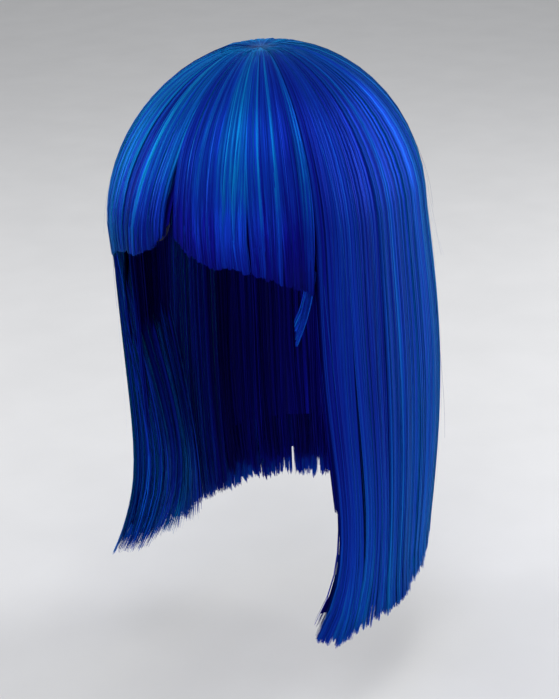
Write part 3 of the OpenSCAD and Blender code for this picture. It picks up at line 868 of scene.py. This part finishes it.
tab_front = TAB_MIDDLE - TAB_HALF - EDGE_GAP
tab_back = TAB_MIDDLE + TAB_HALF + EDGE_GAP
rim_band("hairline_band", -tab_front, tab_front, BAND_H, 60)
rim_band("side_binding_left", tab_back, NAPE_START - EDGE_GAP, BAND_H - 0.002, 30)
rim_band("side_binding_right", EDGE_GAP - NAPE_START, -tab_back, BAND_H - 0.002, 30)
rim_band("nape_band", NAPE_START, 360 - NAPE_START, BAND_H, 44)

for number, azimuth in enumerate([104, 130, 155, 180, 205, 230, 256], 1):
    radius = float(np.linalg.norm(cap_point(azimuth, 0.0, 0.0)))
    half = math.degrees(RIB_W / 2 / radius)
    cap_strip("cap_rib_%d_elastic" % number, "cap_rib_%d" % number, "cap", azimuth - half,
              azimuth + half, lambda a: rim_height(a) + BAND_H - 0.005, lambda a: 0.0448 + 0 * a,
              CAP_T / 2, CAP_T * 0.9, 8, 26, rib_elastic)


def sew_weft(node, first, last, height, columns):
    """A level row of machine weft."""
    cap_strip(node + "_track", node, "cap", first, last, lambda a: height + 0 * a,
              lambda a: height + WEFT_H + 0 * a, (WEFT_IN + WEFT_OUT) / 2, 0.0012, columns, 6, sewn_weft)


for number in range(1, 7):
    height = WEFT_TOP - WEFT_PITCH * (number - 1)
    open_at = [a for a in range(88, 161, 2) if float(rim_height(a)) + BAND_H + 0.001 < height]
    sew_weft("back_weft_%d" % number, open_at[0], 360 - open_at[0], height, 60)
sew_weft("crown_weft_1", 76, 284, 0.050, 70)
sew_weft("crown_weft_2", 76, 284, 0.066, 70)
sew_weft("fringe_weft", -FRINGE_END, FRINGE_END, 0.066, 40)


def lace_low(azimuth):
    """Lower edge of the lace: on the bands at the front and above the open wefts at the back."""
    level = np.where(azimuth > 180, 360 - azimuth, azimuth)
    open_back = share((level - 90) / 9)
    return np.maximum(rim_height(azimuth) + BAND_H - 0.005, mix(TAB_HINGE_Z + 0.0006, 0.045, open_back))


def lace_place(across, down):
    """The lace runs from the edge of the skin top down to its lower edge."""
    azimuth = 360 * across
    turn = np.radians(azimuth)
    reach = ((np.sin(turn) / (SKIN_W + 0.0002)) ** 2 + (np.cos(turn) / (SKIN_D + 0.0002)) ** 2) ** -0.5
    around = oval(azimuth, HEAD_W, HEAD_D)
    top = HEAD_H * (1 - (reach / around) ** DOME_ROUND) ** (1 / DOME_ROUND)
    high = np.arcsin((top / HEAD_H) ** (DOME_ROUND / 2))
    low = np.arcsin((lace_low(azimuth) / HEAD_H) ** (DOME_ROUND / 2))
    height = HEAD_H * np.sin(mix(high, low, down)) ** (2 / DOME_ROUND)
    return cap_point(azimuth, height, CAP_T / 2)


lace = cap_sheet("crown_lace_net", 96, 24, lace_place, (0.46, 0.115), stretch_lace, CAP_T * 0.8, True)
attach(lace, "cap")
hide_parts("crown_lace")


def skin_place(across, down):
    """A square cut pressed into an oval on the top of the dome."""
    u = 2 * across - 1
    v = 1 - 2 * down
    x = SKIN_W * u * np.sqrt(1 - v * v / 2)
    y = SKIN_D * v * np.sqrt(1 - u * u / 2)
    azimuth = np.degrees(np.arctan2(x, -y))
    around = oval(azimuth, HEAD_W + CAP_T / 2, HEAD_D + CAP_T / 2)
    height = (HEAD_H + CAP_T / 2) * (1 - (np.hypot(x, y) / around) ** DOME_ROUND) ** (1 / DOME_ROUND)
    return np.stack([x, y, height], -1)


skin = cap_sheet("skin_top_film", 28, 28, skin_place, (2 * SKIN_W, 2 * SKIN_D), skin_film, CAP_T * 0.8)
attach(skin, "cap")
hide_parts("skin_top")


def tab_low(middle):
    """Lower edge of an ear tab: rounded corners on a straight cut."""
    half = TAB_HALF - EDGE_GAP
    return lambda a: -0.024 + 0.014 * (1 - np.sqrt(1 - np.clip((a - middle) / (half + 0.5), -1, 1) ** 2))


for word, side in sides.items():
    middle = side * TAB_MIDDLE
    half = TAB_HALF - EDGE_GAP
    cap_strip("ear_tab_%s_flap" % word, "ear_tab_" + word, "ear_tab_" + word, middle - half,
              middle + half, tab_low(middle), lambda a: TAB_HINGE_Z + 0 * a, BAND_MID - 0.0001, CAP_T * 0.9,
              20, 26, band_cloth, 0.0002)
    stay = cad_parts["ear_tab_stay_" + word]
    stay.data.materials.clear()
    stay.data.materials.append(spring_steel)
    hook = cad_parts["adjuster_hook_" + word]
    hook.data.materials.clear()
    hook.data.materials.append(hook_plastic)

    def strap_place(across, down):
        azimuth = side * mix(STRAP_START, STRAP_STOP, across if side > 0 else 1 - across)
        reached = share((np.abs(azimuth) - STRAP_START) / (STRAP_STOP - STRAP_START))
        inward = mix(0.0024, 0.0056, reached)
        out = cap_point(azimuth, np.full_like(azimuth, ADJUST_Z), WEFT_IN)
        radius = np.hypot(out[:, 0], out[:, 1]) - inward
        return radial(azimuth, radius, ADJUST_Z + mix(STRAP_W / 2, -STRAP_W / 2, down))

    strap = cap_sheet("adjuster_strap_%s_elastic" % word, 20, 6, strap_place, (0.022, STRAP_W),
                      strap_elastic, 0.0008)
    ends = [strap_place(np.array([at]), np.array([0.5]))[0] for at in (0.0, 1.0)]
    if side < 0:
        ends.reverse()
    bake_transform(strap)
    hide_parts("adjuster_strap_" + word)

    loops = bpy.data.curves.new("slot_loops_%s_thread" % word, "CURVE")
    loops.dimensions = "3D"
    loops.bevel_depth = 0.00042
    loops.bevel_resolution = 3
    around = float(np.linalg.norm(cap_point(HOOK_AZ, ADJUST_Z, 0.0)[:2]))
    for number in range(4):
        azimuth = side * (HOOK_AZ + 2 + math.degrees(number * LOOP_PITCH / around))
        path = loops.splines.new("BEZIER")
        path.bezier_points.add(3)
        for spot, (inward, tall) in zip(path.bezier_points, [(0.0008, 0.0036), (0.0021, 0.0030),
                                                             (0.0021, -0.0030), (0.0008, -0.0036)]):
            edge = cap_point(azimuth, ADJUST_Z + tall, WEFT_IN)
            radius = math.hypot(edge[0], edge[1]) - inward
            spot.co = radial(azimuth, radius, ADJUST_Z + tall)
            spot.handle_left_type = "AUTO"
            spot.handle_right_type = "AUTO"
    loops.materials.append(satin_thread)
    threads = bpy.data.objects.new("slot_loops_%s_thread" % word, loops)
    bpy.context.scene.collection.objects.link(threads)
    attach(threads, "cap")
    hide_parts("slot_loops_" + word)


# ---- Floor, lights and camera ---------------------------------------------------------------


def floor_finish():
    """Plain pale floor with faint clouds in its tone."""
    material, tree, surface = finish("pale_floor", 0.8)
    place = add(tree, "ShaderNodeTexCoord").outputs["Object"]
    cloud = noise(tree, place, 14.0, 5.0)
    pale = ramp(tree, cloud, [(0.2, (0.62, 0.62, 0.63)), (0.8, (0.66, 0.66, 0.67))])
    tree.links.new(pale, surface.inputs["Base Color"])
    return material


bm = bmesh.new()
bmesh.ops.create_grid(bm, x_segments=2, y_segments=2, size=30.0)
bmesh.ops.translate(bm, verts=bm.verts, vec=(0, 0, FLOOR_Z))
new_piece("floor", bm, floor_finish(), False)


def soft_light(name, azimuth, radius, height, size, power):
    """A soft box light turned towards the middle of the wig."""
    lamp = bpy.data.lights.new(name, "AREA")
    lamp.shape = "RECTANGLE"
    lamp.size = size[0]
    lamp.size_y = size[1]
    lamp.energy = power
    holder = bpy.data.objects.new(name, lamp)
    holder.location = radial(azimuth, radius, height)
    aim = Vector((0, 0, -0.05)) - holder.location
    holder.rotation_euler = aim.to_track_quat("-Z", "Y").to_euler()
    bpy.context.scene.collection.objects.link(holder)


soft_light("rear_side_light", 140, 1.5, 0.45, (0.6, 1.3), 22)
soft_light("front_side_light", -72, 1.6, 0.55, (0.7, 1.2), 14)
soft_light("top_light", 35, 0.70, 1.40, (0.7, 0.7), 7)
soft_light("face_light", 10, 1.9, 0.10, (1.2, 0.9), 12)

world = bpy.data.worlds.new("soft_room")
world.use_nodes = True
room = world.node_tree.nodes["Background"]
room.inputs["Color"].default_value = (0.80, 0.81, 0.82, 1)
room.inputs["Strength"].default_value = 0.66
bpy.context.scene.world = world
bpy.context.scene.view_settings.view_transform = "Standard"

lens = bpy.data.cameras.new("camera")
lens.lens = 80.8
lens.sensor_width = 36
camera = bpy.data.objects.new("camera", lens)
stand = Vector((0.5462, -0.7855, 0.3043))
look = (Vector((0.0053, -0.0042, -0.0935)) - stand).normalized()
level = look.cross(Vector((0, 0, 1))).normalized()
upright = level.cross(look)
tilt = math.radians(-2.88)
right = level * math.cos(tilt) + upright * math.sin(tilt)
up = upright * math.cos(tilt) - level * math.sin(tilt)
camera.matrix_world = Matrix.Translation(stand) @ Matrix((right, up, -look)).transposed().to_4x4()
bpy.context.scene.collection.objects.link(camera)
bpy.context.scene.camera = camera
